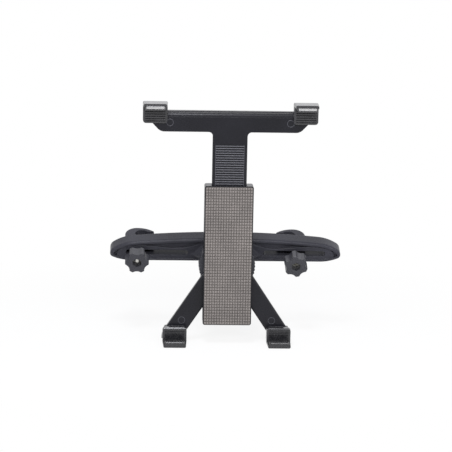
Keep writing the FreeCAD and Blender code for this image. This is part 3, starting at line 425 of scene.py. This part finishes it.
def threaded_bolt(side, pitch_mm):
    """Hexagon bolt as one turned surface about its axis.

    Radius over angle t and length s: the crest's radius less a V of the thread's depth by the distance
    from the helix s / pitch - t / 2 pi, tapered at the tip; the head's radius is half its width across
    flats over cos of the angle from the nearest flat, trimmed to a circle at its chamfers."""
    turns = 36
    per_pitch = 8
    angle = np.arange(turns) * 2.0 * math.pi / turns
    length = BOLT_SEAT - BOLT_END
    along = np.linspace(0.0, length, int(length / pitch_mm * per_pitch) + 1)
    phase = (along[:, None] / pitch_mm - angle[None, :] / (2.0 * math.pi)) % 1.0
    crest = np.minimum(BOLT_RADIUS, TIP_RADIUS + along)[:, None]
    shank = crest - THREAD_DEPTH * (1.0 - np.abs(2.0 * phase - 1.0))
    shank[-1, :] = BOLT_NECK
    flat = np.abs((angle + math.pi / 6.0) % (math.pi / 3.0) - math.pi / 6.0)
    hexagon = HEAD_FLAT / np.cos(flat)
    chamfered = np.minimum(hexagon, HEAD_CHAMFER_RADIUS)
    tip = np.zeros((1, turns))
    head = np.stack([chamfered, hexagon, hexagon, chamfered, np.zeros(turns)])
    radius = np.concatenate([tip, shank, head])
    under, over = HEAD_CHAMFERS
    head_places = length + np.array([0.0, under, HEAD_HEIGHT - over, HEAD_HEIGHT, HEAD_HEIGHT])
    place = BOLT_END + np.concatenate([[0.0], along, head_places])
    x = BOLT_X[side] + radius * np.cos(angle)[None, :]
    z = BOLT_Z + radius * np.sin(angle)[None, :]
    y = place[:, None] + np.zeros((1, turns))
    points = lean_with_bar(np.stack([x, y, z], axis=-1)).reshape(-1, 3)
    quads = grid_faces(len(place), turns, True)
    return points, quads[:, ::-1]


def witness_ring(centre, radius_mm, width_mm, rise_mm):
    """Raised ring left by an ejector pin, facing -y.

    Point (a, t), a from 0 to pi over the section and t round the ring: radius + width / 2 * cos a from
    the centre, in the direction t, and out of the face by rise * sin a less the root."""
    steps = 40
    rows = 7
    arc = np.linspace(0.0, math.pi, rows)
    angle = np.arange(steps) * 2.0 * math.pi / steps
    reach = radius_mm + width_mm / 2.0 * np.cos(arc)
    rise = rise_mm * np.sin(arc)
    x = centre[0] + reach[:, None] * np.cos(angle)[None, :]
    z = centre[2] + reach[:, None] * np.sin(angle)[None, :]
    y = centre[1] + MARK_ROOT - rise[:, None] + np.zeros((1, steps))
    points = np.stack([x, y, z], axis=-1).reshape(-1, 3)
    row = np.append(np.arange(rows), 0)
    column = np.arange(steps)
    after = (column + 1) % steps
    first = row[:-1, None] * steps
    second = row[1:, None] * steps
    quads = np.stack([first + column, second + column, second + after, first + after], axis=-1)
    return points, quads.reshape(-1, 4)


def point_at(thing, target, roll):
    """Turns a lamp or camera to face a target in millimetres, with a roll about its own axis."""
    back = np.array(thing.location) - np.array(target) * MM
    back = back / np.linalg.norm(back)
    right = np.cross((0.0, 0.0, 1.0), back)
    right = right / np.linalg.norm(right)
    up = np.cross(back, right)
    new_right = math.cos(roll) * right + math.sin(roll) * up
    new_up = math.cos(roll) * up - math.sin(roll) * right
    rows = [[new_right[k], new_up[k], back[k], float(thing.location[k])] for k in range(3)]
    thing.matrix_world = Matrix(rows + [[0.0, 0.0, 0.0, 1.0]])


def make_floor(scene):
    """Level square of paper just under the object."""
    low = CAD_BOX[0][2] / MM
    side = np.array([-1.0, 1.0]) * FLOOR_HALF
    x, y = np.meshgrid(side, side)
    points = np.stack([x, y, np.full_like(x, low - FLOOR_BELOW)], axis=-1).reshape(-1, 3)
    mesh = bpy.data.meshes.new("studio_floor")
    mesh.from_pydata((points * MM).tolist(), [], [(0, 1, 3, 2)])
    mesh.materials.append(paper_floor("Paper matte white floor"))
    floor = bpy.data.objects.new("studio_floor", mesh)
    scene.collection.objects.link(floor)


def make_world(scene):
    """World that lights softly and is seen as white."""
    world = bpy.data.worlds.new("Soft studio")
    world.use_nodes = True
    tree = world.node_tree
    tree.nodes.clear()
    output = add_node(tree, "ShaderNodeOutputWorld")
    soft = add_node(tree, "ShaderNodeBackground", {"Color": linear("#eef0f4"), "Strength": 0.4})
    seen = add_node(tree, "ShaderNodeBackground", {"Color": linear("#ffffff"), "Strength": 1.0})
    mix = add_node(tree, "ShaderNodeMixShader",
                   links={0: seen_rays(tree), 1: (soft, "Background"), 2: (seen, "Background")})
    tree.links.new(mix.outputs["Shader"], output.inputs["Surface"])
    world.cycles.sampling_method = "NONE"
    scene.world = world


def make_lamps(scene):
    """Area lamps of the table, all facing the object."""
    for name, place, size, energy, code in LAMPS:
        data = bpy.data.lights.new(name, "AREA")
        data.shape = "RECTANGLE"
        data.size, data.size_y = size
        data.energy = energy
        data.color = linear(code)[:3]
        lamp = bpy.data.objects.new(name, data)
        lamp.location = [v * MM for v in place]
        scene.collection.objects.link(lamp)
        point_at(lamp, LAMP_TARGET, 0.0)


def make_camera(scene, settings):
    """Camera at the photograph's angle."""
    data = bpy.data.cameras.new("photo_camera")
    data.lens = settings.lens
    data.sensor_width = FILM_WIDTH
    data.clip_end = CLIP_END
    camera = bpy.data.objects.new("photo_camera", data)
    target = np.array(CAMERA_TARGET)
    level = math.cos(settings.elevation)
    back = np.array([math.sin(settings.azimuth) * level, -math.cos(settings.azimuth) * level,
                     math.sin(settings.elevation)])
    camera.location = [float(v) for v in target * MM + back * settings.distance]
    scene.collection.objects.link(camera)
    point_at(camera, target, settings.roll)
    scene.camera = camera


def colour_property(name, description, code):
    """Colour property whose default is an sRGB hex colour."""
    return bpy.props.FloatVectorProperty(name=name, description=description, subtype="COLOR", size=4,
                                         min=0.0, max=1.0, default=linear(code))


class HolderColours(bpy.types.PropertyGroup):
    """Colours of the finishes."""
    abs_dark: colour_property("Cradle, dark", "Darker tone of the cradle's plastic", "#131318")
    abs_light: colour_property("Cradle, light", "Lighter tone of the cradle's plastic", "#1a1a20")
    # Painted highlight on the crests of the arm's ribs
    painted_highlight: colour_property("Painted_highlight ribs", "Crests of the arm's ribs", "#55555b")
    # Painted highlight: the raised rims of the ejector marks are real, their lighter tone is painted
    mark: colour_property("Ejector marks", "Painted_highlight rims of the ejector marks", "#424248")
    bar_dark: colour_property("Bar, dark", "Darker tone of the bar, hooks, knobs and ring", "#333339")
    bar_light: colour_property("Bar, light", "Lighter tone of the bar and the hooks", "#3a3a41")
    grip_light: colour_property("Grip, light", "Lighter tone of the knobs and the ring", "#3a3a3f")
    nylon_dark: colour_property("Nylon, dark", "Darker tone of the ball joint", "#141416")
    nylon_light: colour_property("Nylon, light", "Lighter tone of the ball joint", "#1b1b1d")
    claw_dark: colour_property("Claw, dark", "Darker tone of the claws", "#1e1e21")
    claw_light: colour_property("Claw, light", "Lighter tone of the claws", "#28282b")
    # Painted shade in the pad's valleys and painted light on its crests
    foam_valley_shade: colour_property("Pad valleys", "Foam between the studs", "#524d4a")
    foam_crest_light: colour_property("Pad crests", "Foam on top of the studs", "#817b78")
    zinc: colour_property("Zinc", "Zinc plating", "#b9b8b2")
    zinc_bright: colour_property("Zinc, bright", "Zinc plating where it is rubbed", "#d8d7d2")


class HolderSizes(bpy.types.PropertyGroup):
    """Sizes of the details that the solids leave out."""
    stud_columns: bpy.props.IntProperty(
        name="Stud columns", description="Studs across the pad", default=18, min=2)
    stud_rows: bpy.props.IntProperty(
        name="Stud rows", description="Studs up the pad", default=48, min=2)
    stud_depth: bpy.props.FloatProperty(
        name="Stud depth", description="Depth of the embossing", unit="LENGTH", default=0.7 * MM)
    thread_pitch: bpy.props.FloatProperty(
        name="Thread pitch", description="Pitch of the bolts", unit="LENGTH", default=0.8 * MM)
    mark_radius: bpy.props.FloatProperty(
        name="Witness mark", description="Radius of the ejector marks", unit="LENGTH", default=3.2 * MM)


class HolderStage(bpy.types.PropertyGroup):
    """Camera."""
    azimuth: bpy.props.FloatProperty(
        name="Azimuth", description="Camera's turn about the object", subtype="ANGLE",
        default=math.radians(-2.6))
    elevation: bpy.props.FloatProperty(
        name="Elevation", description="Camera's height as an angle", subtype="ANGLE",
        default=math.radians(12.0))
    roll: bpy.props.FloatProperty(
        name="Roll", description="Camera's turn about its own axis", subtype="ANGLE",
        default=math.radians(1.1))
    distance: bpy.props.FloatProperty(
        name="Distance", description="Camera from its target", unit="LENGTH", default=1800.0 * MM)
    lens: bpy.props.FloatProperty(
        name="Lens", description="Focal length in millimetres", unit="CAMERA", default=150.9)


class HOLDER_OT_plastic(bpy.types.Operator):
    """Dresses the moulded ABS and nylon pieces."""
    bl_idname = "holder.plastic"
    bl_label = "Moulded plastic"

    def execute(self, context):
        colours = context.scene.holder_colours
        cradle = moulded_abs("ABS moulded spark-eroded black", colours.abs_dark, colours.abs_light,
                             rough=0.28, shine=0.18, grain_mm=0.8, edge_mm=0.4)
        legs = moulded_abs("ABS moulded spark-eroded black with broken edges", colours.abs_dark,
                           colours.abs_light, rough=0.28, shine=0.23, grain_mm=0.8, edge_mm=1.5)
        # The arm's plastic carries a painted highlight on its rib crests
        arm = moulded_abs("ABS moulded spark-eroded black with rubbed ribs", colours.abs_dark,
                          colours.abs_light, rough=0.28, shine=0.18, grain_mm=0.8, edge_mm=0.4,
                          painted_highlight=colours.painted_highlight)
        bar = moulded_abs("ABS moulded satin charcoal", colours.bar_dark, colours.bar_light,
                          rough=0.28, shine=0.1, grain_mm=0.8, edge_mm=0.9)
        grip = moulded_abs("ABS moulded satin charcoal grip", colours.bar_dark, colours.grip_light,
                           rough=0.32, shine=0.3, grain_mm=0.7, edge_mm=0.5)
        nylon = moulded_nylon("Nylon moulded glass-filled black", colours.nylon_dark,
                              colours.nylon_light)
        dress(CRADLE_NODES, cradle)
        dress(LEG_NODES, legs)
        dress(ARM_NODES, arm)
        dress(BAR_NODES, bar)
        dress(GRIP_NODES, grip)
        dress(NYLON_NODES, nylon)
        return {"FINISHED"}


class HOLDER_OT_claws(bpy.types.Operator):
    """Dresses the four rubber claws."""
    bl_idname = "holder.claws"
    bl_label = "Claws"

    def execute(self, context):
        colours = context.scene.holder_colours
        rubber = moulded_rubber("Rubber moulded polished black", colours.claw_dark, colours.claw_light)
        dress(CLAW_NODES, rubber)
        return {"FINISHED"}


class HOLDER_OT_steel(bpy.types.Operator):
    """Dresses the plated fasteners and makes the threaded bolts."""
    bl_idname = "holder.steel"
    bl_label = "Plated steel"

    def execute(self, context):
        colours = context.scene.holder_colours
        pitch = context.scene.holder_sizes.thread_pitch / MM
        steel = plated_steel("Steel zinc-plated tumbled", colours.zinc, colours.zinc_bright)
        dress(STEEL_NODES, steel)
        for side in ("left", "right"):
            points, faces = threaded_bolt(side, pitch)
            piece = new_piece(side + "_threaded_bolt", points, faces, steel, "hook_" + side,
                              False)
            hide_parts(side + "_bolt")
        return {"FINISHED"}


class HOLDER_OT_pad(bpy.types.Operator):
    """Makes the embossed grip pad."""
    bl_idname = "holder.pad"
    bl_label = "Embossed pad"

    def execute(self, context):
        colours = context.scene.holder_colours
        sizes = context.scene.holder_sizes
        foam = embossed_foam("EVA foam embossed grey", colours.foam_valley_shade, colours.foam_crest_light)
        points, faces, shade = embossed_pad(sizes.stud_columns, sizes.stud_rows, sizes.stud_depth / MM)
        piece = new_piece("embossed_grip_pad", points, faces, foam, "cradle", False)
        height = piece.data.attributes.new("stud_height", "FLOAT", "POINT")
        height.data.foreach_set("value", shade.astype(np.float32))
        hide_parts("grip_pad")
        return {"FINISHED"}


class HOLDER_OT_marks(bpy.types.Operator):
    """Makes the ejector marks on the arm and the legs."""
    bl_idname = "holder.marks"
    bl_label = "Ejector marks"

    def execute(self, context):
        radius = context.scene.holder_sizes.mark_radius / MM
        # The ejector marks' raised rims are real; their lighter tone is a painted highlight
        tone = context.scene.holder_colours.mark
        plastic = moulded_abs("ABS moulded and rubbed", tone, tone,
                              rough=0.28, shine=0.23, grain_mm=0.8, edge_mm=0.2)
        arm_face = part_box("top_arm")[0][1] / MM
        leg_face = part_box("grip_pad")[0][1] / MM + LEG_BEHIND_PAD
        places = (("arm_mark_left", "arm", -1.0, ARM_MARK, arm_face),
                  ("arm_mark_right", "arm", 1.0, ARM_MARK, arm_face),
                  ("leg_mark_left", "leg_left", -1.0, LEG_MARK, leg_face),
                  ("leg_mark_right", "leg_right", 1.0, LEG_MARK, leg_face))
        for name, body, side, (beside, above), face in places:
            centre = (side * beside, face, BALL_Z + above)
            points, faces = witness_ring(centre, radius, MARK_WIDTH, MARK_RISE)
            new_piece(name, points, faces, plastic, body, True)
        return {"FINISHED"}


class HOLDER_OT_stage(bpy.types.Operator):
    """Makes the floor, the world, the lamps and the camera."""
    bl_idname = "holder.stage"
    bl_label = "Stage"

    def execute(self, context):
        scene = context.scene
        make_floor(scene)
        make_world(scene)
        make_lamps(scene)
        make_camera(scene, scene.holder_stage)
        scene.view_settings.view_transform = "Standard"
        return {"FINISHED"}


class HOLDER_PT_panel(bpy.types.Panel):
    """Lists the holder's operators."""
    bl_idname = "HOLDER_PT_panel"
    bl_label = "Tablet holder"
    bl_space_type = "VIEW_3D"
    bl_region_type = "UI"
    bl_category = "Holder"

    def draw(self, context):
        for operator in OPERATORS:
            self.layout.operator(operator.bl_idname)


OPERATORS = (HOLDER_OT_plastic, HOLDER_OT_claws, HOLDER_OT_steel, HOLDER_OT_pad, HOLDER_OT_marks,
             HOLDER_OT_stage)
CLASSES = (HolderColours, HolderSizes, HolderStage) + OPERATORS + (HOLDER_PT_panel,)


def register():
    for made in CLASSES:
        bpy.utils.register_class(made)
    bpy.types.Scene.holder_colours = bpy.props.PointerProperty(type=HolderColours)
    bpy.types.Scene.holder_sizes = bpy.props.PointerProperty(type=HolderSizes)
    bpy.types.Scene.holder_stage = bpy.props.PointerProperty(type=HolderStage)


def unregister():
    del bpy.types.Scene.holder_stage
    del bpy.types.Scene.holder_sizes
    del bpy.types.Scene.holder_colours
    for made in reversed(CLASSES):
        bpy.utils.unregister_class(made)


def main():
    """Registers the add-on and makes every piece in order."""
    register()
    bpy.ops.holder.plastic()
    bpy.ops.holder.claws()
    bpy.ops.holder.steel()
    bpy.ops.holder.pad()
    bpy.ops.holder.marks()
    bpy.ops.holder.stage()


if __name__ == "__main__":
    main()
